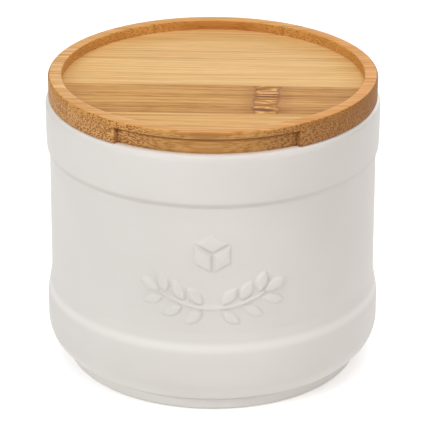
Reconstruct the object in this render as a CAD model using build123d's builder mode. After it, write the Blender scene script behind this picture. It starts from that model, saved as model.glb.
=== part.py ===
from build123d import *
from math import asin, atan, cos, degrees, radians, sin
import os

# Round ceramic salt box with a bamboo lid that lifts off.
# Millimetres. Origin: centre of the base. +Z is up and the front faces -Y.

# Jar: radius at the waist, and how far the other bands stand off it
waist_radius = 54.0
swell_step = 1.7
band_step = 1.0

# Jar: height of each band, from the foot up
foot_height = 4.2
corner_height = 12.6
swell_height = 4.5
swell_blend_height = 11.0
waist_height = 41.3
band_blend_height = 3.2
band_height = 14.7

# Jar: lower corner, a standing ellipse whose lowest part the foot hides
corner_reach = 8.3
corner_hidden = 0.6

# Jar: roundings
foot_round = 1.2
shoulder_round = 2.2
mouth_round = 0.6
floor_round = 8.0
base_recess_round = 1.0

# Jar: wall, floor and base
wall_thickness = 3.8
floor_thickness = 5.0
foot_ring_width = 5.0
base_recess_depth = 2.5

# Raised ornament on the front: a leafy sprig under a salt crystal
ornament_above_swell = 19.2
relief = 0.7
relief_root = 1.5
sprig_radius = 30.0
sprig_drop = 12.0
stem_half_run = 17.0
stem_width = 1.3
leaf_length = 6.8
leaf_width = 3.4
leaf_gap = 1.8
leaf_pairs = 3
leaf_first = 2.0
leaf_pitch = 6.3
leaf_tilt = 45.0
tip_leaf_setback = 1.0
crystal_edge = 7.0
crystal_rise = 6.8
crystal_groove = 1.1
crystal_tilt = 30.0

# Lid: upper ply, turned a little against the jar's front
lid_inset = 1.0
lid_thickness = 7.8
lid_turn = -2.3
lid_rim_width = 4.45
recess_depth = 3.3
lid_top_chamfer = 0.5
lid_bottom_chamfer = 0.2
recess_chamfer = 0.2
lid_strips = 5
lid_back_strip_width = 9.6

# Lid: finger notch under the front edge
notch_half_angle = 32.5
notch_depth = 1.3
notch_height = 5.3

# Lid: lower ply, the plug that centres the lid in the mouth
plug_side_gap = 2.2
plug_thickness = 6.0
plug_strips = 4
plug_chamfer = 0.5

# Play between the foot and the recess of the lid it stands in when boxes are stacked
stacking_gap = 0.55

# Seal: silicone ring with two lips, in a groove round the plug
groove_depth = 1.6
groove_height = 3.2
groove_below_rim = 1.4
seal_play = 0.05
seal_mouth_gap = 0.3
lip_root = 0.9
lip_tip = 0.4

os.makedirs("parts", exist_ok=True)

# Radii that follow from the waist
swell_radius = waist_radius + swell_step
band_radius = waist_radius + band_step
mouth_radius = waist_radius - wall_thickness
lid_radius = band_radius - lid_inset
recess_radius = lid_radius - lid_rim_width
foot_radius = recess_radius - stacking_gap
plug_radius = mouth_radius - plug_side_gap

# Heights above the base
floor_top = base_recess_depth + floor_thickness
corner_top = foot_height + corner_height
swell_start = corner_top + swell_height
swell_end = swell_start + swell_blend_height
band_start = swell_end + waist_height
band_full = band_start + band_blend_height
jar_height = band_full + band_height
lid_top = jar_height + lid_thickness
recess_floor = lid_top - recess_depth
plug_bottom = jar_height - plug_thickness
groove_bottom = jar_height - groove_below_rim - groove_height


def save(piece, name):
    """Labels a finished piece and writes it to its own file."""
    piece.label = name
    export_step(piece, f"parts/{name}.step")


def blend_up(start, radius, height):
    """Carries an upright wall from start to another radius by two tangent arcs."""
    step = radius - start[0]
    rise = height - start[1]
    turn = 2 * atan(step / rise)
    bend = rise / sin(abs(turn)) / 2
    first = JernArc(start, (0, 1), bend, -degrees(turn))
    JernArc(first @ 1, first % 1, bend, degrees(turn))


def on_sprig(run, tilt=0):
    """Place on the sprig's stem, that far along it from its lowest point, tilted off it."""
    angle = run / sprig_radius
    x = sprig_radius * sin(angle)
    y = sprig_radius * (1 - cos(angle)) - sprig_drop
    return Location((x, y), degrees(angle) + tilt)


# Stem of the sprig, an arc that hangs below the crystal
with BuildSketch() as stem:
    with BuildLine():
        stem_centre = (0, sprig_radius - sprig_drop)
        half_turn = degrees(stem_half_run / sprig_radius)
        CenterArc(stem_centre, sprig_radius, -90 - half_turn, 2 * half_turn)
    trace(line_width=stem_width)

# One leaf of the sprig, pointing along +X and standing free of the stem
with BuildSketch() as leaf:
    with BuildLine():
        base = (leaf_gap, 0)
        tip = (leaf_gap + leaf_length, 0)
        ThreePointArc(base, (leaf_gap + leaf_length / 2, leaf_width / 2), tip)
        ThreePointArc(tip, (leaf_gap + leaf_length / 2, -leaf_width / 2), base)
    make_face()

# All the leaves: pairs along each half of the stem, and one past each end
with BuildSketch() as leaves:
    add(leaf.sketch.moved(on_sprig(stem_half_run - tip_leaf_setback)))
    for pair in range(leaf_pairs):
        run = leaf_first + pair * leaf_pitch
        for tilt in (leaf_tilt, -leaf_tilt):
            add(leaf.sketch.moved(on_sprig(run, tilt)))
    mirror(about=Plane.YZ)

# One face of the crystal, a cube seen corner on
with BuildSketch() as crystal_face:
    with BuildLine():
        across = crystal_edge * cos(radians(crystal_tilt))
        up = crystal_edge * sin(radians(crystal_tilt))
        Polyline((0, 0), (across, up), (0, crystal_edge), (-across, up), close=True)
    make_face()
    offset(amount=-crystal_groove / 2, kind=Kind.INTERSECTION)

# Ornament, raised from the waist's own round surface and rooted in the wall
with BuildPart() as ornament:
    ornament_height = swell_end + ornament_above_swell
    front = Plane((0, 0, ornament_height), x_dir=(1, 0, 0), z_dir=(0, -1, 0))
    with BuildSketch(front):
        add(stem.sketch)
        add(leaves.sketch)
        for turn in (0, 120, 240):
            add(crystal_face.sketch.moved(Location((0, crystal_rise), turn)))
    extrude(amount=waist_radius + relief)
    Cylinder(waist_radius + relief, 2 * lid_top, mode=Mode.INTERSECT)
    Cylinder(waist_radius - relief_root, 2 * lid_top, mode=Mode.SUBTRACT)

# Jar: turned body, hollow, base recess and ornament in one casting
with BuildPart() as jar:
    with BuildSketch(Plane.XZ):
        with BuildLine():
            corner_centre = (swell_radius - corner_reach, corner_top)
            corner_rise = corner_height + corner_hidden
            corner_angle = degrees(asin(corner_height / corner_rise))
            corner = EllipticalCenterArc(
                corner_centre,
                corner_reach,
                corner_rise,
                start_angle=-corner_angle,
                arc_size=corner_angle,
            )
            Polyline((0, 0), (foot_radius, 0), (foot_radius, foot_height), corner @ 0)
            Line(corner @ 1, (swell_radius, swell_start))
            blend_up((swell_radius, swell_start), waist_radius, swell_end)
            Line((waist_radius, swell_end), (waist_radius, band_start))
            blend_up((waist_radius, band_start), band_radius, band_full)
            Polyline(
                (band_radius, band_full),
                (band_radius, jar_height),
                (0, jar_height),
                (0, 0),
            )
        make_face()
    revolve(axis=Axis.Z)
    fillet(jar.edges().group_by(Axis.Z)[-1], shoulder_round)
    fillet(jar.edges().group_by(Axis.Z)[0], foot_round)

    with BuildSketch(Plane.XY.offset(floor_top)):
        Circle(mouth_radius)
    extrude(amount=jar_height - floor_top, mode=Mode.SUBTRACT)
    fillet(jar.edges(Select.LAST).group_by(Axis.Z)[0], floor_round)
    fillet(jar.edges().group_by(Axis.Z)[-1].sort_by(SortBy.RADIUS)[0], mouth_round)

    with BuildSketch():
        Circle(foot_radius - foot_round - foot_ring_width)
    extrude(amount=base_recess_depth, mode=Mode.SUBTRACT)
    fillet(jar.edges(Select.LAST).group_by(Axis.Z)[-1], base_recess_round)
    add(ornament.part)
save(jar.part, "jar")

# Lid: upper ply as one turned board, with its stacking recess and finger notch
lid_plane = Plane.XY.rotated((0, 0, lid_turn))
with BuildPart() as lid_board:
    with BuildSketch(lid_plane.offset(jar_height)):
        Circle(lid_radius)
    extrude(amount=lid_thickness)
    with BuildSketch(lid_plane.offset(recess_floor)):
        Circle(recess_radius)
    extrude(amount=recess_depth, mode=Mode.SUBTRACT)
    recess_edge, outer_edge = (
        lid_board.edges().group_by(Axis.Z)[-1].sort_by(SortBy.RADIUS)
    )
    chamfer(recess_edge, recess_chamfer)
    chamfer(outer_edge, lid_top_chamfer)
    chamfer(lid_board.edges().group_by(Axis.Z)[0], lid_bottom_chamfer)

    with BuildSketch(lid_plane.offset(jar_height)):
        Circle(lid_radius + notch_depth)
        Circle(lid_radius - notch_depth, mode=Mode.SUBTRACT)
        with BuildLine():
            reach = 2 * lid_radius
            side = reach * sin(radians(notch_half_angle))
            ahead = -reach * cos(radians(notch_half_angle))
            Polyline((0, 0), (-side, ahead), (side, ahead), close=True)
        make_face(mode=Mode.INTERSECT)
    extrude(amount=notch_height, mode=Mode.SUBTRACT)

# Lid: lower ply as one turned plug, with the groove that holds the seal
with BuildPart() as plug:
    with BuildSketch(lid_plane.offset(plug_bottom)):
        Circle(plug_radius)
    extrude(amount=plug_thickness)
    chamfer(plug.edges().group_by(Axis.Z)[0], plug_chamfer)
    with BuildSketch(lid_plane.offset(groove_bottom)):
        Circle(plug_radius)
        Circle(plug_radius - groove_depth, mode=Mode.SUBTRACT)
    extrude(amount=groove_height, mode=Mode.SUBTRACT)


def saw_strips(board, plane, radius, height, strips, width, name):
    """Saws a round board into strips along the plane's X, each of one width but the last."""
    for index in range(strips):
        low = -radius + index * width
        high = min(low + width, radius)
        with BuildPart() as strip:
            add(board)
            with BuildSketch(plane):
                with Locations((0, (low + high) / 2)):
                    Rectangle(2 * radius, high - low)
            extrude(amount=height, mode=Mode.INTERSECT)
        save(strip.part, f"{name}_{index + 1}")


# Upper ply: strips across the view, numbered from the front
saw_strips(
    lid_board.part,
    lid_plane.offset(jar_height),
    lid_radius,
    lid_thickness,
    lid_strips,
    (2 * lid_radius - lid_back_strip_width) / (lid_strips - 1),
    "lid_strip",
)

# Lower ply: strips from front to back, numbered from the left
saw_strips(
    plug.part,
    lid_plane.rotated((0, 0, -90)).offset(plug_bottom),
    plug_radius,
    plug_thickness,
    plug_strips,
    2 * plug_radius / plug_strips,
    "plug_strip",
)

# Seal: a flat band in the groove, with an upper and a lower lip towards the mouth
with BuildPart() as seal_ring:
    seal_bottom = groove_bottom + seal_play
    seal_height = groove_height - 2 * seal_play
    seal_inner = plug_radius - groove_depth + seal_play
    lip_radius = mouth_radius - seal_mouth_gap
    lip_inset = (lip_root - lip_tip) / 2
    with BuildSketch(Plane.XZ):
        with Locations((seal_inner, seal_bottom)):
            Rectangle(
                plug_radius - seal_inner, seal_height, align=(Align.MIN, Align.MIN)
            )
        for lip_bottom in (seal_bottom, seal_bottom + seal_height - lip_root):
            with BuildLine():
                Polyline(
                    (plug_radius, lip_bottom),
                    (lip_radius, lip_bottom + lip_inset),
                    (lip_radius, lip_bottom + lip_inset + lip_tip),
                    (plug_radius, lip_bottom + lip_root),
                    close=True,
                )
            make_face()
    revolve(axis=Axis.Z)
save(seal_ring.part, "seal_ring")
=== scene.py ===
from math import atan2, cos, hypot, pi, radians, sin

import bpy
from mathutils import Matrix, Vector


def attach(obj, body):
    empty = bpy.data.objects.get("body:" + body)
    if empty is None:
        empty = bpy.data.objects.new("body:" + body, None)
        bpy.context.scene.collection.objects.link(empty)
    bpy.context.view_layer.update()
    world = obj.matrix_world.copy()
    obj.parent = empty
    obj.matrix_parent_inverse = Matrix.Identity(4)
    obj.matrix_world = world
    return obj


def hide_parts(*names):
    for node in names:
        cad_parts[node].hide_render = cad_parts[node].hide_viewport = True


# Round salt box: a glazed ceramic jar with a bamboo lid that lifts off.
# Sizes here are in millimetres and are turned to metres where a mesh is made. The camera, lamps
# and floor are in metres.
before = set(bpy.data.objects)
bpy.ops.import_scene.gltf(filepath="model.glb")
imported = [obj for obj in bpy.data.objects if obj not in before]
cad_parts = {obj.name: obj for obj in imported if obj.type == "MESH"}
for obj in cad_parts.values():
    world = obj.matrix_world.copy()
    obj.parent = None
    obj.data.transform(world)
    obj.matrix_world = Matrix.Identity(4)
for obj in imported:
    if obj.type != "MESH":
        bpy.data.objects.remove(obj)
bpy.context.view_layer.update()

MM = 0.001

# Jar, from the foot up. A loop is a ring of points that divides a flat face or a side, and the
# ease and the slope are steps outwards and upwards.
foot_radius = 49.0
foot_height = 4.2
foot_round = 1.2
foot_inner_round = 0.6
foot_crease_round = 0.3
foot_ring_inside = 42.8
base_recess = 2.5
base_recess_round = 1.0
base_loop = 20.0
corner_centre = (45.7, 13.9)
corner_reach = 10.0
corner_rise = 10.5
corner_start = -67.49
swell_radius = 55.7
swell_top = 20.3
waist_bottom = 30.56
waist_low_radius = 54.22
waist_high_radius = 53.95
waist_ease = (0.04, -0.56)
band_bottom = 73.4
band_slope = (0.53, 0.85)
band_radius = 55.0
shoulder_round = 2.2
jar_height = 91.5
mouth_radius = 50.2
mouth_round = 0.6
wall_middle = mouth_radius + 2
floor_round = 8.0
floor_top = 7.5
jar_facets = 192

# Arcs that lean the jar's wall: their reach, their lean at the start and end in degrees, steps
swell_leans = ((20.5, 0, 10.4, 8), (84.0, 10.4, 12.0, 3), (7.3, 12.0, 8.0, 3))
waist_lean = (4.0, 8.0, 0.0, 4)
crease_lean = (0.8, 0, -32, 5)
band_leans = ((1.5, -32, -5, 5), (44.0, -5, 0, 6))

# Raised ornament: a sprig of leaves that hangs under a salt crystal
ornament_height = 51.5
relief = 0.95
relief_edge = 0.9
relief_crown = 0.15
crown_reach = 1.7
patch_bottom = 32.6
patch_top = 66.9
patch_rows = 20
patch_half_angle = 26.0
patch_cuts = 6
sprig_radius = 30.0
sprig_drop = 12.0
stem_half_run = 17.0
stem_taper_from = 9.0
stem_taper = 0.5
stem_width = 1.3
leaf_length = 6.8
leaf_width = 3.4
leaf_gap = 1.8
leaf_runs = (2.0, 8.3, 14.6)
leaf_tilt = 45.0
tip_leaf_run = 16.0
crystal_edge = 7.0
crystal_rise = 6.8
crystal_groove = 1.1

# Lid board and the plug under it
lid_turn = -2.3
lid_radius = 54.0
lid_top = 99.3
lid_low_round = 0.45
lid_top_round = 0.8
lid_side_loops = (2.5, 5.0)
recess_radius = 49.55
recess_floor = 96.0
recess_edge_round = 0.35
board_loop = 30.0
lid_strip_count = 5
strip_width = 24.6
notch_half_angle = 32.5
notch_reach = 52.1
notch_top = 97.0
notch_facets = 60
cutter_drop = 1
cutter_over = 2
plug_radius = 48.0
plug_round = 0.6
plug_bottom = 85.5
groove_radius = 46.4
groove_bottom = 86.9
groove_top = 90.1
plug_strip_count = 4
plug_strip_width = 24.0
lid_facets = 240

# Seal ring, stretched into the plug's groove
seal_inside = 46.45
seal_outside = 48.0
seal_bottom = 86.95
seal_top = 90.05
seal_round = 0.25
lip_reach = 49.9
lip_root = 0.9
lip_tip = 0.4
lip_inset = 0.25

# Heights on the jar where its colour differs: the bare foot ring, painted light on the foot, painted
# highlights over the swell's edge and the shoulder, and painted shade in the creases under the band
# and over the foot. From an edge or a crease, a difference is full up to the first reach and gone at
# the second.
bare_foot = (0.15, 0.45)
foot_light_heights = (4.4, 11.0)
foot_crease_shade = 4.9
foot_crease_shade_reach = (0.2, 1.3)
swell_highlight_height = 25.4
swell_highlight_reach = (0.2, 2.5)
band_crease_shade = 74.6
band_crease_shade_reach = (0.1, 1.6)
shoulder_highlight_heights = (90.3, 91.7)

# How often in a metre the glaze's patterns repeat. Its tone drifts over some 45 mm, and its skin
# ripples over some 14 mm.
glaze_drift = 22.0
glaze_ripple = 70.0

# How often in a metre silicone's patterns repeat: frosting every 1 mm or so, clouds every 17 mm
silicone_frost = 900.0
silicone_cloud = 60.0

# How far the bamboo's patterns shift from one strip to the next, in millimetres
strip_shift = (137.0, 3.1, 7.3)

# How often in a millimetre bamboo's patterns repeat, along the grain and both ways across it.
# Fibres wander by about a millimetre over some 60 mm. Bundles are half a millimetre wide and go
# on for some 15 mm. Lines are drawn about 1 mm apart and finer, so that they show at this size.
# Flecks are some 7 mm long, and streaks some 5 mm across.
wander_pace = (0.016, 0.04, 0.04)
wander_reach = (0.0, 2.0, 0.6)
bundle_pace = (0.033, 1.0, 1.0)
worm_scale = 2.1
dot_scale = 2.2
line_pace = (0.014, 1.7, 1.7)
fleck_pace = (0.14, 1.1, 1.1)
streak_pace = (0.008, 0.2, 0.2)

# Knuckle of the culm: its edges are ragged every 3 mm or so, its torn fibres are about 1 mm
# thick, it has a dark edge under 1 mm wide each side, and the wood is browner 5 mm beyond
torn_edge_pace = (0.1, 0.36, 0.36)
torn_edge_push = 2.6
torn_fibre_pace = (0.1, 0.8, 0.8)
knuckle_edge_reach = (0.2, 0.6)
brown_reach = 5.0

# Heights on the lid: where the recess's tone turns to the rim's, how far above the lower face
# the edge has painted contact shade, and how far below its top the notch's wall has a painted shadow line
rim_heights = (96.4, 97.8)
contact_shade_heights = (0.3, 1.0)
notch_shadow_depths = (1.7, 1.1)

# Places along the lid's grain, where painted shade darkens the outer cut ends towards the right, and
# where the rim grows more orange
right_shade_from_to = (-10.0, 50.0)
rim_orange_from_to = (15.0, 45.0)

# Radius that holds the recess wall, and reaches of the painted shadow line from the notch's wall and from
# a glue joint
recess_wall = recess_radius + 0.4
notch_shadow_reach = 0.4
glue_reach = (0.05, 0.35)

# Camera at the photograph's viewing angle, fitted to the round edges of the jar and lid
lens_length = 202.2
film_width = 36.0
sideways_shift = 0.00074
camera_place = (0.0, -0.73427, 0.37470)
camera_pitch = 23.963
camera_roll = 0.144

camera_data = bpy.data.cameras.new("camera")
camera = bpy.data.objects.new("camera", camera_data)
bpy.context.collection.objects.link(camera)
camera_data.sensor_width = film_width
camera_data.lens = lens_length
camera_data.shift_x = sideways_shift
camera_data.clip_end = 10.0
camera.location = camera_place
tilt = Matrix.Rotation(radians(90 - camera_pitch), 3, "X")
roll = Matrix.Rotation(radians(camera_roll), 3, "Z")
camera.rotation_euler = (tilt @ roll).to_euler()
bpy.context.scene.camera = camera
bpy.context.scene.view_settings.view_transform = "Standard"


def arc(centre, reach, start, end, steps, rise=None):
    """Points along an arc, or an ellipse's where a rise is given, in a profile's plane."""
    rise = reach if rise is None else rise
    turns = [radians(start + (end - start) * step / steps) for step in range(steps + 1)]
    return [(centre[0] + reach * cos(t), centre[1] + rise * sin(t)) for t in turns]


def lean_on(points, reach, start, end, steps):
    """Carries a wall up from its last point by an arc, as its inward lean goes from start to end."""
    first_radius, first_height = points[-1]
    side = 1 if end > start else -1
    begin = radians(start)
    for step in range(1, steps + 1):
        lean = radians(start + (end - start) * step / steps)
        radius = first_radius + side * reach * (cos(lean) - cos(begin))
        height = first_height + side * reach * (sin(lean) - sin(begin))
        points.append((radius, height))


def deselect_everything():
    """Leaves object mode's selection empty, the loaded nodes included."""
    bpy.ops.object.select_all(action="DESELECT")


def select_only(piece):
    """Makes a piece the only one selected, and the active one."""
    deselect_everything()
    piece.select_set(True)
    bpy.context.view_layer.objects.active = piece


def draw_profile(name, points):
    """Draws a profile in the plane y = 0 by extruding one vertex from point to point, and leaves
    it in edit mode."""
    deselect_everything()
    bpy.ops.mesh.primitive_plane_add(size=MM, location=(0, 0, 0))
    piece = bpy.context.object
    piece.name = name
    piece.data.name = name
    bpy.ops.object.mode_set(mode="EDIT")
    bpy.ops.mesh.merge(type="CENTER")
    place = Vector((0, 0, 0))
    for index, (radius, height) in enumerate(points):
        target = Vector((radius * MM, 0, height * MM))
        if index == 0:
            bpy.ops.transform.translate(value=target - place)
        else:
            move = {"value": target - place}
            bpy.ops.mesh.extrude_region_move(TRANSFORM_OT_translate=move)
        place = target
    return piece


def turn_profile(facets, angle=2 * pi):
    """Spins the profile being edited about the upright axis and closes the seam and poles."""
    bpy.ops.mesh.select_all(action="SELECT")
    bpy.ops.mesh.spin(steps=facets, angle=angle, center=(0, 0, 0), axis=(0, 0, 1))
    bpy.ops.mesh.select_all(action="SELECT")
    bpy.ops.mesh.remove_doubles(threshold=0.001 * MM)
    bpy.ops.mesh.normals_make_consistent(inside=False)
    bpy.ops.object.mode_set(mode="OBJECT")


def smooth(piece, angle):
    """Shades a piece smooth, but for edges sharper than the angle."""
    select_only(piece)
    bpy.ops.object.shade_smooth_by_angle(angle=radians(angle))


def saw(piece, point, normal):
    """Cuts a piece with a plane, keeps the side the normal points away from, and fills the cut."""
    select_only(piece)
    bpy.ops.object.mode_set(mode="EDIT")
    bpy.ops.mesh.select_all(action="SELECT")
    bpy.ops.mesh.bisect(
        plane_co=point, plane_no=normal, use_fill=True, clear_outer=True, threshold=0.0001 * MM
    )
    bpy.ops.object.mode_set(mode="OBJECT")


def saw_strip(board, name, index, count, radius, width, across):
    """Saws one of a round board's strips out of a copy of it, which has its own mesh."""
    strip = board.copy()
    strip.data = board.data.copy()
    strip.name = name
    strip.data.name = name
    bpy.context.collection.objects.link(strip)
    low = -radius + index * width
    if index > 0:
        saw(strip, across * low * MM, -across)
    if index < count - 1:
        saw(strip, across * (low + width) * MM, across)
    smooth(strip, 35)
    return strip


def waist_radius_at(height):
    """Radius of the waist, which narrows a little towards the band."""
    share = (height - waist_bottom) / (band_bottom - waist_bottom)
    return waist_low_radius + share * (waist_high_radius - waist_low_radius)


# Jar's profile from the middle of the base, up the outside and down to the floor inside
patch_rise = patch_top - patch_bottom
patch_heights = [patch_bottom + row * patch_rise / patch_rows for row in range(patch_rows + 1)]
jar_profile = [(0, base_recess), (base_loop, base_recess)]
jar_profile += arc(
    (foot_ring_inside - base_recess_round, base_recess - base_recess_round), base_recess_round, 90, 0, 6
)
jar_profile += arc(
    (foot_ring_inside + foot_inner_round, foot_inner_round), foot_inner_round, 180, 270, 6
)
jar_profile += arc((foot_radius - foot_round, foot_round), foot_round, -90, 0, 8)
jar_profile += arc(
    (foot_radius + foot_crease_round, foot_height - foot_crease_round), foot_crease_round, 180, 90, 5
)
jar_profile += arc(corner_centre, corner_reach, corner_start, 0, 28, corner_rise)
jar_profile += [(swell_radius, swell_top)]
for lean in swell_leans:
    lean_on(jar_profile, *lean)
jar_profile += [(waist_low_radius + waist_ease[0], waist_bottom + waist_ease[1])]
lean_on(jar_profile, *waist_lean)
jar_profile += [(waist_radius_at(z), z) for z in patch_heights]
jar_profile += [(waist_high_radius, band_bottom)]
lean_on(jar_profile, *crease_lean)
jar_profile += [(jar_profile[-1][0] + band_slope[0], jar_profile[-1][1] + band_slope[1])]
for lean in band_leans:
    lean_on(jar_profile, *lean)
jar_profile += arc((band_radius - shoulder_round, jar_height - shoulder_round), shoulder_round, 0, 90, 12)
jar_profile += arc((mouth_radius + mouth_round, jar_height - mouth_round), mouth_round, 90, 180, 6)
jar_profile += arc((mouth_radius - floor_round, floor_top + floor_round), floor_round, 0, -90, 12)
jar_profile += [(base_loop, floor_top), (0, floor_top)]
jar = draw_profile("jar_body", jar_profile)
turn_profile(jar_facets)


def on_sprig(run, tilt=0.0):
    """Place and heading of a leaf on the sprig's stem, that far along it from its lowest point."""
    angle = run / sprig_radius
    x = sprig_radius * sin(angle)
    y = sprig_radius * (1 - cos(angle)) - sprig_drop
    return x, y, angle + radians(tilt)


leaf_places = [on_sprig(tip_leaf_run)]
leaf_places += [on_sprig(run, tilt) for run in leaf_runs for tilt in (leaf_tilt, -leaf_tilt)]


def depth_in_leaf(x, y, place):
    """How far a point lies inside a leaf, which two equal arcs bound."""
    base_x, base_y, heading = place
    along = (x - base_x) * cos(heading) + (y - base_y) * sin(heading)
    across = (y - base_y) * cos(heading) - (x - base_x) * sin(heading)
    half = leaf_width / 2
    bend = ((leaf_length / 2) ** 2 + half**2) / (2 * half)
    middle = leaf_gap + leaf_length / 2
    return bend - hypot(along - middle, abs(across) + bend - half)


def depth_in_stem(x, y):
    """How far a point lies inside the stem, which thins towards its round end."""
    centre_y = sprig_radius - sprig_drop
    run = sprig_radius * atan2(x, centre_y - y)
    off_line = abs(hypot(x, y - centre_y) - sprig_radius)
    thinned = min(max((run - stem_taper_from) / (stem_half_run - stem_taper_from), 0.0), 1.0)
    past_end = max(run - stem_half_run, 0.0)
    return stem_width / 2 * (1 - stem_taper * thinned) - hypot(off_line, past_end)


def depth_in_crystal(x, y):
    """How far a point lies inside the nearest of the crystal's three faces."""
    apothem = crystal_edge / 2 * cos(radians(30)) - crystal_groove / 2
    depths = []
    for turn in (0, 120, 240):
        angle = radians(-turn)
        face_x = x * cos(angle) - (y - crystal_rise) * sin(angle)
        face_y = x * sin(angle) + (y - crystal_rise) * cos(angle) - crystal_edge / 2
        depths.append(apothem - abs(face_x) * 0.5 - abs(face_y) * cos(radians(30)))
    return max(depths)


def ornament_rise(x, y):
    """Height of the ornament over the waist, with the soft edges that glaze gives it."""
    side = abs(x)
    depth = max(depth_in_stem(side, y), depth_in_crystal(x, y))
    for place in leaf_places:
        depth = max(depth, depth_in_leaf(side, y, place))
    share = min(max(depth / relief_edge + 0.5, 0.0), 1.0)
    crown = relief_crown * min(max(depth, 0.0) / crown_reach, 1.0)
    return (relief - relief_crown) * share * share * (3 - 2 * share) + crown


def raise_ornament(piece):
    """Divides the front of the waist finely and raises the ornament from it."""
    select_only(piece)
    bpy.ops.object.mode_set(mode="EDIT")
    bpy.ops.mesh.select_mode(type="FACE")
    bpy.ops.mesh.select_all(action="DESELECT")
    bpy.ops.object.mode_set(mode="OBJECT")
    mesh = piece.data
    for face in mesh.polygons:
        middle = face.center
        around = abs(atan2(middle.x, -middle.y))
        in_patch = patch_bottom * MM < middle.z < patch_top * MM
        outside = middle.xy.length > wall_middle * MM
        face.select = in_patch and outside and around < radians(patch_half_angle)
    bpy.ops.object.mode_set(mode="EDIT")
    bpy.ops.mesh.subdivide(number_cuts=patch_cuts)
    bpy.ops.mesh.select_mode(type="VERT")
    bpy.ops.object.mode_set(mode="OBJECT")
    for vertex in mesh.vertices:
        if not vertex.select:
            continue
        height = vertex.co.z / MM
        rise = ornament_rise(vertex.co.x / MM, height - ornament_height)
        vertex.co.xy = vertex.co.xy.normalized() * (waist_radius_at(height) + rise) * MM
    mesh.update()


raise_ornament(jar)
smooth(jar, 50)
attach(jar, "jar")
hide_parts("jar")

# Lid board: turned, notched for a finger, then sawn into its five strips
board_profile = [(0, jar_height), (board_loop, jar_height)]
board_profile += arc((lid_radius - lid_low_round, jar_height + lid_low_round), lid_low_round, -90, 0, 5)
board_profile += [(lid_radius, jar_height + loop) for loop in lid_side_loops]
board_profile += arc((lid_radius - lid_top_round, lid_top - lid_top_round), lid_top_round, 0, 90, 6)
board_profile += arc(
    (recess_radius + recess_edge_round, lid_top - recess_edge_round), recess_edge_round, 90, 180, 4
)
board_profile += [(recess_radius, recess_floor), (board_loop, recess_floor), (0, recess_floor)]
board = draw_profile("lid_board", board_profile)
turn_profile(lid_facets)

# With no window, transform.rotate turns the other way, so the cutter's start has its sign changed
notch_start = radians(-90 + lid_turn - notch_half_angle)
notch_profile = [(notch_reach, jar_height - cutter_drop),
                 (lid_radius + cutter_over, jar_height - cutter_drop),
                 (lid_radius + cutter_over, notch_top), (notch_reach, notch_top)]
cutter = draw_profile("notch_cutter", notch_profile)
bpy.ops.mesh.select_all(action="SELECT")
bpy.ops.mesh.edge_face_add()
bpy.ops.transform.rotate(value=-notch_start, orient_axis="Z", center_override=(0, 0, 0))
turn_profile(notch_facets, -radians(2 * notch_half_angle))

select_only(board)
cut = board.modifiers.new("notch", "BOOLEAN")
cut.operation = "DIFFERENCE"
cut.solver = "EXACT"
cut.object = cutter
bpy.ops.object.modifier_apply(modifier=cut.name)
bpy.data.objects.remove(cutter)

across_lid = Vector((-sin(radians(lid_turn)), cos(radians(lid_turn)), 0))
along_lid = Vector((cos(radians(lid_turn)), sin(radians(lid_turn)), 0))
lid_pieces = []
for index in range(lid_strip_count):
    strip = saw_strip(
        board, f"lid_board_strip_{index + 1}", index, lid_strip_count, lid_radius, strip_width, across_lid
    )
    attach(strip, "lid")
    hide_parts(f"lid_strip_{index + 1}")
    lid_pieces.append(strip)
bpy.data.objects.remove(board)

# Plug: turned with its groove, then sawn into its four strips
plug_profile = [(0, plug_bottom), (board_loop, plug_bottom)]
plug_profile += arc((plug_radius - plug_round, plug_bottom + plug_round), plug_round, -90, 0, 5)
plug_profile += [(plug_radius, groove_bottom), (groove_radius, groove_bottom),
                 (groove_radius, groove_top), (plug_radius, groove_top),
                 (plug_radius, jar_height), (0, jar_height)]
plug = draw_profile("plug_board", plug_profile)
turn_profile(lid_facets)
plug_pieces = []
for index in range(plug_strip_count):
    strip = saw_strip(
        plug, f"plug_board_strip_{index + 1}", index, plug_strip_count, plug_radius, plug_strip_width,
        along_lid,
    )
    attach(strip, "lid")
    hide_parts(f"plug_strip_{index + 1}")
    plug_pieces.append(strip)
bpy.data.objects.remove(plug)

# Seal ring: a soft band in the groove with two lips that wipe the jar's mouth
seal_profile = arc((seal_inside + seal_round, seal_bottom + seal_round), seal_round, 180, 270, 4)
for lip_bottom in (seal_bottom, seal_top - lip_root):
    tip_bottom = lip_bottom + lip_inset
    seal_profile += [(seal_outside, lip_bottom)]
    seal_profile += arc((lip_reach - lip_tip / 2, tip_bottom + lip_tip / 2), lip_tip / 2, -75, 75, 6)
    seal_profile += [(seal_outside + seal_round, lip_bottom + lip_root)]
seal_profile += arc((seal_inside + seal_round, seal_top - seal_round), seal_round, 90, 180, 4)
seal_profile += [seal_profile[0]]
seal = draw_profile("seal_band", seal_profile)
turn_profile(lid_facets)
smooth(seal, 30)
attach(seal, "lid")
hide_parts("seal_ring")


def colour(code):
    """Turns an sRGB hex value to the linear colour that a shader takes."""
    channels = [int(code[place : place + 2], 16) / 255 for place in (1, 3, 5)]
    linear = [c / 12.92 if c <= 0.04045 else ((c + 0.055) / 1.055) ** 2.4 for c in channels]
    return (*linear, 1.0)


def add_node(tree, kind, inputs=None, stops=None, **settings):
    """Adds a shader node with its settings. An input is a value or another node's output."""
    new = tree.nodes.new("ShaderNode" + kind)
    for name, value in settings.items():
        setattr(new, name, value)
    for socket, value in (inputs or {}).items():
        if isinstance(value, bpy.types.NodeSocket):
            tree.links.new(value, new.inputs[socket])
        else:
            new.inputs[socket].default_value = value
    if stops:
        ramp = new.color_ramp
        while len(ramp.elements) < len(stops):
            ramp.elements.new(0.5)
        for element, (place, code) in zip(ramp.elements, stops):
            element.position = place
            element.color = colour(code)
    return new


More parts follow.
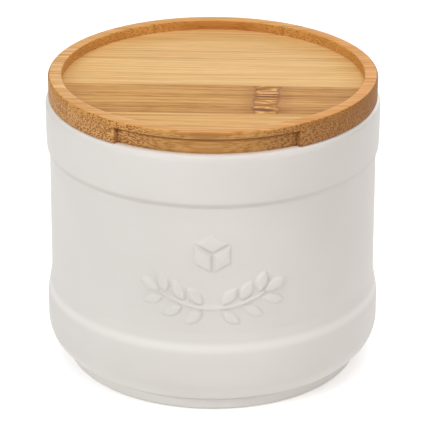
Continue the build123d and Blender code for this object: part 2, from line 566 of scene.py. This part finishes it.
def new_material(name):
    """Starts a material, and gives it with its shader and the piece's own coordinates."""
    material = bpy.data.materials.new(name)
    material.use_nodes = True
    tree = material.node_tree
    tree.nodes.clear()
    shader = add_node(tree, "BsdfPrincipled")
    add_node(tree, "OutputMaterial", {"Surface": shader.outputs[0]})
    place = add_node(tree, "TexCoord").outputs["Object"]
    return material, tree, shader, place


def dress(piece, material):
    """Gives a piece its one material."""
    piece.data.materials.clear()
    piece.data.materials.append(material)


def reach_from_axis(tree, place):
    """How far a place lies from the upright axis."""
    level = add_node(tree, "VectorMath", {0: place, 1: (1.0, 1.0, 0.0)}, operation="MULTIPLY")
    return add_node(tree, "VectorMath", {0: level.outputs[0]}, operation="LENGTH").outputs["Value"]


def closeness(tree, value, middle, fade, most, **settings):
    """Share for a value near a middle: most up to the fade's first reach from it, and 0 past its
    second."""
    off = add_node(tree, "Math", {0: value, 1: middle}, operation="SUBTRACT")
    away = add_node(tree, "Math", {0: off.outputs[0]}, operation="ABSOLUTE")
    return add_node(
        tree, "MapRange",
        {"Value": away.outputs[0], "From Min": fade[0], "From Max": fade[1],
         "To Min": most, "To Max": 0.0},
        **settings,
    ).outputs[0]


def glazed_ceramic():
    """Slip-cast stoneware dipped in a satin white glaze: an even warm white whose smooth skin
    gives the lamps back softly, with the foot ring wiped bare and matt before firing."""
    material, tree, shader, place = new_material("white_glazed_stoneware")
    drift = add_node(tree, "TexNoise", {"Vector": place, "Scale": glaze_drift, "Detail": 2.0})
    tone = add_node(
        tree, "ValToRGB", {"Fac": drift.outputs["Fac"]},
        [(0.3, "#d0ccc7"), (0.7, "#d5d1cc")],
    )
    in_millimetres = add_node(
        tree, "VectorMath", {0: place, 1: (1000, 1000, 1000)}, operation="MULTIPLY"
    ).outputs[0]
    height = add_node(tree, "SeparateXYZ", {"Vector": in_millimetres}).outputs["Z"]
    outside = add_node(
        tree, "Math", {0: reach_from_axis(tree, in_millimetres), 1: wall_middle},
        operation="GREATER_THAN",
    ).outputs[0]
    # Painted highlight in a paler colour over the swell's upper edge, and painted light on the foot
    on_swell_highlight = closeness(
        tree, height, swell_highlight_height, swell_highlight_reach, 1.0, interpolation_type="SMOOTHSTEP"
    )
    swell_highlight_outside = add_node(tree, "Math", {0: on_swell_highlight, 1: outside}, operation="MULTIPLY")
    on_foot_light = add_node(
        tree, "MapRange",
        {"Value": height, "From Min": foot_light_heights[0], "From Max": foot_light_heights[1],
         "To Min": 1.0, "To Max": 0.0},
    )
    painted_light_share = add_node(
        tree, "Math", {0: swell_highlight_outside.outputs[0], 1: on_foot_light.outputs[0]}, operation="MAXIMUM"
    )
    thinned = add_node(
        tree, "Mix",
        {"Factor": painted_light_share.outputs[0], "A": tone.outputs["Color"], "B": colour("#dedbd6")},
        data_type="RGBA",
    )
    # Painted shade: a greyer colour in the creases under the band and over the foot
    in_band_crease_shade = closeness(
        tree, height, band_crease_shade, band_crease_shade_reach, 0.75, interpolation_type="SMOOTHSTEP"
    )
    band_shade_outside = add_node(tree, "Math", {0: in_band_crease_shade, 1: outside}, operation="MULTIPLY")
    over_foot_shade = closeness(
        tree, height, foot_crease_shade, foot_crease_shade_reach, 1.0, interpolation_type="SMOOTHSTEP"
    )
    painted_shade_share = add_node(tree, "Math", {0: band_shade_outside.outputs[0], 1: over_foot_shade}, operation="MAXIMUM")
    crease_shaded = add_node(
        tree, "Mix",
        {"Factor": painted_shade_share.outputs[0], "A": thinned.outputs["Result"], "B": colour("#c2bab5")},
        data_type="RGBA",
    )
    # Painted highlight: a whiter colour over the round of the shoulder
    over_shoulder_highlight = add_node(
        tree, "MapRange",
        {"Value": height, "From Min": shoulder_highlight_heights[0], "From Max": shoulder_highlight_heights[1],
         "To Min": 0.0, "To Max": 1.0},
        interpolation_type="SMOOTHSTEP",
    )
    shoulder = add_node(
        tree, "Math", {0: over_shoulder_highlight.outputs[0], 1: outside}, operation="MULTIPLY"
    )
    shoulder_highlighted = add_node(
        tree, "Mix",
        {"Factor": shoulder.outputs[0], "A": crease_shaded.outputs["Result"], "B": colour("#ece9e5")},
        data_type="RGBA",
    )
    bare = add_node(
        tree, "MapRange",
        {"Value": height, "From Min": bare_foot[0], "From Max": bare_foot[1],
         "To Min": 1.0, "To Max": 0.0},
    )
    skin = add_node(
        tree, "Mix",
        {"Factor": bare.outputs[0], "A": shoulder_highlighted.outputs["Result"], "B": colour("#d8cfc0")},
        data_type="RGBA",
    )
    tree.links.new(skin.outputs["Result"], shader.inputs["Base Color"])
    gloss = add_node(
        tree, "MapRange", {"Value": bare.outputs[0], "To Min": 0.42, "To Max": 0.85}
    )
    tree.links.new(gloss.outputs[0], shader.inputs["Roughness"])
    shader.inputs["IOR"].default_value = 1.5
    shader.inputs["Specular IOR Level"].default_value = 0.3
    ripple = add_node(tree, "TexNoise", {"Vector": place, "Scale": glaze_ripple, "Detail": 1.0})
    bump = add_node(
        tree, "Bump",
        {"Height": ripple.outputs["Fac"], "Strength": 0.25, "Distance": 0.05 * MM},
    )
    tree.links.new(bump.outputs[0], shader.inputs["Normal"])
    return material


def silicone():
    """Moulded silicone rubber: milky and satin, with a faint frosting from the mould."""
    material, tree, shader, place = new_material("moulded_silicone")
    frost = add_node(tree, "TexNoise", {"Vector": place, "Scale": silicone_frost, "Detail": 2.0})
    cloud = add_node(tree, "TexNoise", {"Vector": place, "Scale": silicone_cloud, "Detail": 2.0})
    milk = add_node(
        tree, "ValToRGB", {"Fac": cloud.outputs["Fac"]},
        [(0.3, "#dcdcd8"), (0.7, "#e8e8e4")],
    )
    tree.links.new(milk.outputs["Color"], shader.inputs["Base Color"])
    sheen = add_node(
        tree, "MapRange", {"Value": frost.outputs["Fac"], "To Min": 0.38, "To Max": 0.55}
    )
    tree.links.new(sheen.outputs[0], shader.inputs["Roughness"])
    shader.inputs["IOR"].default_value = 1.41
    shader.inputs["Subsurface Weight"].default_value = 0.15
    shader.inputs["Subsurface Radius"].default_value = (1.0 * MM, 1.0 * MM, 0.9 * MM)
    shader.inputs["Subsurface Scale"].default_value = 1.0
    bump = add_node(
        tree, "Bump",
        {"Height": frost.outputs["Fac"], "Strength": 0.2, "Distance": 0.05 * MM},
    )
    tree.links.new(bump.outputs[0], shader.inputs["Normal"])
    return material


def add_knuckle(tree, place, skin, start, end):
    """A knuckle of the culm across a strip: short torn fibres, pale and dark, between two dark
    edges, with the wood browner for a few millimetres either side."""
    middle = (start + end) / 2
    half = (end - start) / 2
    torn = add_node(tree, "VectorMath", {0: place, 1: torn_edge_pace}, operation="MULTIPLY")
    ragged = add_node(tree, "TexNoise", {"Vector": torn.outputs[0], "Scale": 1.0, "Detail": 3.0})
    push = add_node(
        tree, "MapRange",
        {"Value": ragged.outputs["Fac"], "To Min": -torn_edge_push, "To Max": torn_edge_push},
    )
    axes = add_node(tree, "SeparateXYZ", {"Vector": place})
    along = add_node(tree, "Math", {0: axes.outputs["X"], 1: push.outputs[0]}, operation="ADD")
    browned = closeness(tree, along.outputs[0], middle, (half, half + brown_reach), 0.45)
    around = add_node(
        tree, "Mix", {"Factor": browned, "A": skin, "B": colour("#905416")}, data_type="RGBA"
    )
    lifted = add_node(tree, "VectorMath", {0: place, 1: torn_fibre_pace}, operation="MULTIPLY")
    flakes = add_node(
        tree, "TexNoise",
        {"Vector": lifted.outputs[0], "Scale": 1.0, "Detail": 2.0, "Distortion": 0.35},
    )
    flake_tone = add_node(
        tree, "ValToRGB", {"Fac": flakes.outputs["Fac"]},
        [(0.36, "#6c3c08"), (0.45, "#a96a22"), (0.5, "#ba7d33"), (0.57, "#e8b568"), (0.64, "#844c10")],
    )
    inside = closeness(tree, along.outputs[0], middle, (half - 0.3, half + 0.1), 1.0)
    filled = add_node(
        tree, "Mix",
        {"Factor": inside, "A": around.outputs["Result"], "B": flake_tone.outputs["Color"]},
        data_type="RGBA",
    )
    from_middle = add_node(tree, "Math", {0: along.outputs[0], 1: middle}, operation="SUBTRACT")
    away = add_node(tree, "Math", {0: from_middle.outputs[0]}, operation="ABSOLUTE")
    at_edge = closeness(tree, away.outputs[0], half, knuckle_edge_reach, 0.45)
    edged = add_node(
        tree, "Mix",
        {"Factor": at_edge, "A": filled.outputs["Result"], "B": colour("#7a450c")},
        data_type="RGBA",
    )
    return edged.outputs["Result"]


def bamboo_fibres(tree, turned, seed):
    """Patterns of the fibres, from coordinates with X along the grain. Cut across, a bundle is a
    pale worm on a darker ground or a dark dot. Along the surface, fibres make fine lines, short
    flecks where their ends rise to it, and broad streaks where the culm was nearer its skin."""
    shift = [seed * step for step in strip_shift]
    moved = add_node(tree, "VectorMath", {0: turned, 1: shift}, operation="ADD").outputs[0]
    slow = add_node(tree, "VectorMath", {0: moved, 1: wander_pace}, operation="MULTIPLY")
    wander = add_node(tree, "TexNoise", {"Vector": slow.outputs[0], "Scale": 1.0, "Detail": 1.0})
    sway = add_node(
        tree, "VectorMath", {0: wander.outputs["Color"], 1: wander_reach}, operation="MULTIPLY"
    )
    fibre_way = add_node(tree, "VectorMath", {0: moved, 1: sway.outputs[0]}, operation="ADD")
    cells, combed, risen, broad = [
        add_node(
            tree, "VectorMath", {0: fibre_way.outputs[0], 1: pace}, operation="MULTIPLY"
        ).outputs[0]
        for pace in (bundle_pace, line_pace, fleck_pace, streak_pace)
    ]
    worms = add_node(
        tree, "TexNoise", {"Vector": cells, "Scale": worm_scale, "Detail": 1.5, "Roughness": 0.5}
    )
    ground = add_node(
        tree, "MapRange",
        {"Value": worms.outputs["Fac"], "From Min": 0.42, "From Max": 0.6},
        interpolation_type="SMOOTHSTEP",
    )
    bundles = add_node(
        tree, "TexVoronoi", {"Vector": cells, "Scale": dot_scale, "Randomness": 0.8}, feature="F1"
    )
    dots = add_node(
        tree, "MapRange",
        {"Value": bundles.outputs["Distance"], "From Min": 0.28, "From Max": 0.55,
         "To Min": 1.0, "To Max": 0.0},
        interpolation_type="SMOOTHSTEP",
    )
    hairs = add_node(
        tree, "TexNoise", {"Vector": combed, "Scale": 1.0, "Detail": 2.5, "Roughness": 0.6}
    )
    flecks = add_node(tree, "TexNoise", {"Vector": risen, "Scale": 1.0, "Detail": 2.0})
    streaks = add_node(tree, "TexNoise", {"Vector": broad, "Scale": 1.0, "Detail": 2.0})
    return {
        "worms": worms.outputs["Fac"], "ground": ground.outputs[0], "dots": dots.outputs[0],
        "hairs": hairs.outputs["Fac"], "flecks": flecks.outputs["Fac"],
        "streaks": streaks.outputs["Fac"],
    }


def notch_shadow_line(tree, reach, height):
    """Share of a painted shadow line along the top of the finger notch's wall, under its lip."""
    from_wall = add_node(tree, "Math", {0: reach, 1: notch_reach}, operation="SUBTRACT")
    off_wall = add_node(tree, "Math", {0: from_wall.outputs[0]}, operation="ABSOLUTE")
    at_wall = add_node(tree, "Math", {0: off_wall.outputs[0], 1: notch_shadow_reach}, operation="LESS_THAN")
    under_lip = add_node(tree, "Math", {0: height, 1: notch_top + 0.1}, operation="LESS_THAN")
    in_notch = add_node(
        tree, "Math", {0: at_wall.outputs[0], 1: under_lip.outputs[0]}, operation="MULTIPLY"
    )
    near_lip = add_node(
        tree, "MapRange",
        {"Value": height, "From Min": notch_top - notch_shadow_depths[0],
         "From Max": notch_top - notch_shadow_depths[1], "To Min": 0.0, "To Max": 0.6},
    )
    return add_node(
        tree, "Math", {0: in_notch.outputs[0], 1: near_lip.outputs[0]}, operation="MULTIPLY"
    ).outputs[0]


def bamboo(
    name, light, dark, rim_light, seed, streaky, flecked, knuckle=None, grain_turn=lid_turn,
    joints=(lid_radius, strip_width / 2),
):
    """Laminated bamboo, turned, sanded and oiled: straight fibre bundles that run as fine lines
    along a strip, and show where it is cut across as pale worms low down and dark dots higher up."""
    material, tree, shader, place = new_material(name)
    # Strip's own directions in millimetres: X along the grain, Z up
    turned = add_node(
        tree, "Mapping",
        {"Vector": place, "Rotation": (0, 0, -radians(grain_turn)), "Scale": (1000, 1000, 1000)},
    ).outputs[0]
    axes = add_node(tree, "SeparateXYZ", {"Vector": turned})
    height = axes.outputs["Z"]
    reach = reach_from_axis(tree, turned)
    inner = add_node(tree, "Math", {0: reach, 1: recess_wall}, operation="LESS_THAN").outputs[0]
    fibres = bamboo_fibres(tree, turned, seed)
    # How squarely the surface cuts the fibres: 0 along the grain, 1 at an end
    facing = add_node(tree, "NewGeometry").outputs["Normal"]
    along = (cos(radians(grain_turn)), sin(radians(grain_turn)), 0)
    cut = add_node(tree, "VectorMath", {0: facing, 1: along}, operation="DOT_PRODUCT")
    cut_square = add_node(tree, "Math", {0: cut.outputs["Value"], 1: 2.0}, operation="POWER")
    end_grain = add_node(
        tree, "MapRange",
        {"Value": cut_square.outputs[0], "From Min": 0.015, "From Max": 0.22},
        interpolation_type="SMOOTHSTEP",
    ).outputs[0]
    # Share of the darker tone along the grain, from the lines, streaks and flecks together
    lines = add_node(
        tree, "MapRange",
        {"Value": fibres["hairs"], "From Min": 0.4, "From Max": 0.68,
         "To Min": 0.0, "To Max": 0.8},
    )
    bands = add_node(
        tree, "MapRange",
        {"Value": fibres["streaks"], "From Min": 0.42, "From Max": 0.66,
         "To Min": 0.0, "To Max": streaky},
    )
    fleck_shade = add_node(
        tree, "MapRange",
        {"Value": fibres["flecks"], "From Min": 0.4, "From Max": 0.7,
         "To Min": 0.0, "To Max": flecked},
    )
    drawn = add_node(tree, "Math", {0: lines.outputs[0], 1: bands.outputs[0]}, operation="ADD")
    shade = add_node(
        tree, "Math", {0: drawn.outputs[0], 1: fleck_shade.outputs[0]}, operation="ADD"
    ).outputs[0]
    floor_grain = add_node(
        tree, "Mix", {"Factor": shade, "A": colour(light), "B": colour(dark)}, data_type="RGBA"
    )
    # Rim's flat top lies nearer the culm's skin and is more orange than the recess
    rim_grain = add_node(
        tree, "Mix", {"Factor": shade, "A": colour(rim_light), "B": colour("#b67834")},
        data_type="RGBA",
    )
    # Right end of the rim kept more of its oil
    # Rim grows more orange towards its right end
    rim_orange_share = add_node(
        tree, "MapRange",
        {"Value": axes.outputs["X"], "From Min": rim_orange_from_to[0], "From Max": rim_orange_from_to[1],
         "To Min": 0.0, "To Max": 0.3},
    )
    rim_tone = add_node(
        tree, "Mix",
        {"Factor": rim_orange_share.outputs[0], "A": rim_grain.outputs["Result"], "B": colour("#d8801c")},
        data_type="RGBA",
    )
    upper = add_node(
        tree, "MapRange", {"Value": height, "From Min": rim_heights[0], "From Max": rim_heights[1]}
    ).outputs[0]
    top_grain = add_node(
        tree, "Mix",
        {"Factor": upper, "A": floor_grain.outputs["Result"], "B": rim_tone.outputs["Result"]},
        data_type="RGBA",
    )
    # Upright faces take a darker copy of the grain as painted shade, and the recess wall is painted
    # darker and warmer still, as painted shade and warm bounce light
    shaded_outer_side = add_node(
        tree, "Mix", {"Factor": shade, "A": colour("#c69558"), "B": colour("#95622c")},
        data_type="RGBA",
    )
    wall_shade_and_bounce = add_node(tree, "Math", {0: inner, 1: 0.45}, operation="MULTIPLY")
    shaded_side_grain = add_node(
        tree, "Mix",
        {"Factor": wall_shade_and_bounce.outputs[0], "A": shaded_outer_side.outputs["Result"], "B": colour("#b66c18")},
        data_type="RGBA",
    )
    upright = add_node(tree, "SeparateXYZ", {"Vector": facing})
    flat = add_node(
        tree, "MapRange", {"Value": upright.outputs["Z"], "From Min": 0.3, "From Max": 0.8}
    )
    long_grain = add_node(
        tree, "Mix",
        {"Factor": flat.outputs[0], "A": shaded_side_grain.outputs["Result"],
         "B": top_grain.outputs["Result"]},
        data_type="RGBA",
    )
    # Bundles cut across: pale worms low down, dark dots higher up
    pale_worms = add_node(
        tree, "Mix",
        {"Factor": fibres["ground"], "A": colour("#c8975e"), "B": colour("#8e5a28")},
        data_type="RGBA",
    )
    dark_dots = add_node(
        tree, "Mix",
        {"Factor": fibres["dots"], "A": colour("#c4904f"), "B": colour("#7c481b")},
        data_type="RGBA",
    )
    end_tone = add_node(
        tree, "Mix",
        {"Factor": upper, "A": pale_worms.outputs["Result"], "B": dark_dots.outputs["Result"]},
        data_type="RGBA",
    )
    # Outer cut ends are painted darker towards the right, as painted shade
    right_shade = add_node(
        tree, "MapRange",
        {"Value": axes.outputs["X"], "From Min": right_shade_from_to[0], "From Max": right_shade_from_to[1],
         "To Min": 0.0, "To Max": 0.6},
    )
    outer = add_node(tree, "Math", {0: 1.0, 1: inner}, operation="SUBTRACT")
    right_shade_share = add_node(
        tree, "Math", {0: right_shade.outputs[0], 1: outer.outputs[0]}, operation="MULTIPLY"
    )
    right_shaded = add_node(
        tree, "Mix",
        {"Factor": right_shade_share.outputs[0], "A": end_tone.outputs["Result"], "B": colour("#7a4a20")},
        data_type="RGBA",
    )
    tone = add_node(
        tree, "Mix",
        {"Factor": end_grain, "A": long_grain.outputs["Result"], "B": right_shaded.outputs["Result"]},
        data_type="RGBA",
    )
    # Cut ends in the recess wall are painted golden, as painted warm bounce light
    wall_glow_ends = add_node(tree, "Math", {0: inner, 1: end_grain}, operation="MULTIPLY")
    wall_glow_share = add_node(tree, "Math", {0: wall_glow_ends.outputs[0], 1: 0.3}, operation="MULTIPLY")
    wall_glowed = add_node(
        tree, "Mix",
        {"Factor": wall_glow_share.outputs[0], "A": tone.outputs["Result"], "B": colour("#e5a34a")},
        data_type="RGBA",
    )
    # Lower edge painted darker, as painted contact shade where the lid sits on the glaze
    contact_shade = add_node(
        tree, "MapRange",
        {"Value": height, "From Min": jar_height + contact_shade_heights[0],
         "From Max": jar_height + contact_shade_heights[1], "To Min": 0.2, "To Max": 0.0},
    )
    edged = add_node(
        tree, "Mix",
        {"Factor": contact_shade.outputs[0], "A": wall_glowed.outputs["Result"], "B": colour("#6e4520")},
        data_type="RGBA",
    )
    skin = edged.outputs["Result"]
    if knuckle:
        skin = add_knuckle(tree, turned, skin, *knuckle)
    notch_shadowed = add_node(
        tree, "Mix",
        {"Factor": notch_shadow_line(tree, reach, height), "A": skin, "B": colour("#5e3814")},
        data_type="RGBA",
    )
    # Glue line where two strips meet, drawn 0.4 mm wide so that it shows
    from_edge = add_node(tree, "Math", {0: axes.outputs["Y"], 1: joints[0]}, operation="ADD")
    to_joint = add_node(tree, "Math", {0: from_edge.outputs[0], 1: joints[1]}, operation="PINGPONG")
    glue = add_node(
        tree, "MapRange",
        {"Value": to_joint.outputs[0], "From Min": glue_reach[0], "From Max": glue_reach[1],
         "To Min": 0.45, "To Max": 0.0},
    )
    glued = add_node(
        tree, "Mix",
        {"Factor": glue.outputs[0], "A": notch_shadowed.outputs["Result"], "B": colour("#8a5a2b")},
        data_type="RGBA",
    )
    tree.links.new(glued.outputs["Result"], shader.inputs["Base Color"])
    worn = add_node(tree, "MapRange", {"Value": fibres["hairs"], "To Min": 0.5, "To Max": 0.7})
    tree.links.new(worn.outputs[0], shader.inputs["Roughness"])
    shader.inputs["IOR"].default_value = 1.45
    shader.inputs["Specular IOR Level"].default_value = 0.2
    ridge = add_node(
        tree, "Mix", {"Factor": end_grain, "A": fibres["hairs"], "B": fibres["worms"]},
        data_type="FLOAT",
    )
    bump = add_node(
        tree, "Bump", {"Height": ridge.outputs[0], "Strength": 0.3, "Distance": 0.1 * MM}
    )
    tree.links.new(bump.outputs[0], shader.inputs["Normal"])
    return material


# Each lid strip's light and dark tone, its rim's tone, its place in the pattern, how streaky and
# how flecked it is, and where a knuckle starts and ends along it
strip_looks = [
    ("#e2b671", "#ba823d", "#deaa69", 1.0, 0.25, 0.15),
    ("#d3a057", "#9a611b", "#e8bb7c", 2.0, 0.22, 0.32, (14.2, 21.8)),
    ("#e9c081", "#c99756", "#e8bb7c", 3.0, 0.22, 0.2),
    ("#e8be80", "#c79454", "#e3ae69", 4.0, 0.22, 0.2),
    ("#e5b67a", "#b98244", "#e0a75d", 5.0, 0.25, 0.15),
]
dress(jar, glazed_ceramic())
dress(seal, silicone())
for index, (piece, look) in enumerate(zip(lid_pieces, strip_looks)):
    dress(piece, bamboo(f"oiled_bamboo_strip_{index + 1}", *look))
for index, piece in enumerate(plug_pieces):
    plug_bamboo = bamboo(
        f"oiled_bamboo_plug_{index + 1}", "#e4b274", "#bd8345", "#e4b274", 6.0 + index, 0.3, 0.2,
        grain_turn=lid_turn + 90, joints=(plug_radius, plug_strip_width / 2),
    )
    dress(piece, plug_bamboo)


def rays_that_see_white(tree):
    """1 for rays from the camera, or by way of gloss or glass, which see the background plain
    white, and 0 for the rest, which light the object."""
    ray = add_node(tree, "LightPath")
    seen = add_node(
        tree, "Math",
        {0: ray.outputs["Is Camera Ray"], 1: ray.outputs["Is Glossy Ray"]}, operation="MAXIMUM",
    )
    return add_node(
        tree, "Math",
        {0: seen.outputs[0], 1: ray.outputs["Is Transmission Ray"]}, operation="MAXIMUM",
    ).outputs[0]


# Floor: a white table that keeps the object's shadow
deselect_everything()
bpy.ops.mesh.primitive_plane_add(size=3.0, location=(0, 0, -0.02 * MM))
floor = bpy.context.object
floor.name = "floor"
floor_material = bpy.data.materials.new("white_table")
floor_material.use_nodes = True
floor_tree = floor_material.node_tree
floor_tree.nodes.clear()
matt = add_node(floor_tree, "BsdfDiffuse", {"Color": colour("#fbfbfb")})
# Lamps fade out over the far floor, and a glow keeps it as pale there as near the jar
floor_place = add_node(floor_tree, "TexCoord")
distance = add_node(
    floor_tree, "VectorMath", {0: floor_place.outputs["Object"]}, operation="LENGTH"
)
far_glow = add_node(
    floor_tree, "MapRange",
    {"Value": distance.outputs["Value"], "From Min": 0.4, "From Max": 1.4,
     "To Min": 0.36, "To Max": 0.85},
)
lift = add_node(
    floor_tree, "Math", {0: rays_that_see_white(floor_tree), 1: far_glow.outputs[0]},
    operation="MULTIPLY",
)
glow = add_node(floor_tree, "Emission", {"Color": colour("#ffffff"), "Strength": lift.outputs[0]})
both = add_node(floor_tree, "AddShader", {0: matt.outputs[0], 1: glow.outputs[0]})
add_node(floor_tree, "OutputMaterial", {"Surface": both.outputs[0]})
floor.data.materials.append(floor_material)

# World: white to look at, and a quarter as bright where it lights the object
world = bpy.data.worlds.new("studio")
bpy.context.scene.world = world
world.use_nodes = True
world_tree = world.node_tree
world_tree.nodes.clear()
strength = add_node(
    world_tree, "MapRange",
    {"Value": rays_that_see_white(world_tree), "To Min": 0.25, "To Max": 1.0},
)
sky = add_node(
    world_tree, "Background", {"Color": colour("#ffffff"), "Strength": strength.outputs[0]}
)
add_node(world_tree, "OutputWorld", {"Surface": sky.outputs[0]})


def soft_lamp(name, place, target, size, watts, tint=(1.0, 1.0, 1.0)):
    """Adds an oblong soft lamp that faces a point."""
    data = bpy.data.lights.new(name, "AREA")
    data.shape = "RECTANGLE"
    data.size = size[0]
    data.size_y = size[1]
    data.energy = watts
    data.color = tint
    lamp = bpy.data.objects.new(name, data)
    bpy.context.collection.objects.link(lamp)
    lamp.location = place
    lamp.rotation_euler = (Vector(place) - Vector(target)).to_track_quat("Z", "Y").to_euler()


soft_lamp("overhead", place=(0.0, -0.1, 0.95), target=(0, 0, 0.05), size=(1.0, 0.8), watts=4.85)
soft_lamp("front", place=(0.1, -1.1, 0.17), target=(0, 0, 0.04), size=(0.9, 0.25), watts=0.2)
soft_lamp("key", place=(-0.6, -0.6, 0.46), target=(0, 0, 0.06), size=(0.35, 0.35), watts=3.6)
soft_lamp("fill", place=(0.74, -0.58, 0.4), target=(0, 0, 0.05), size=(0.4, 0.6), watts=2.7,
          tint=(1.0, 0.94, 0.93))
soft_lamp("back", place=(0.3, 1.0, 0.28), target=(0, 0, 0.05), size=(0.9, 0.4), watts=4.0)
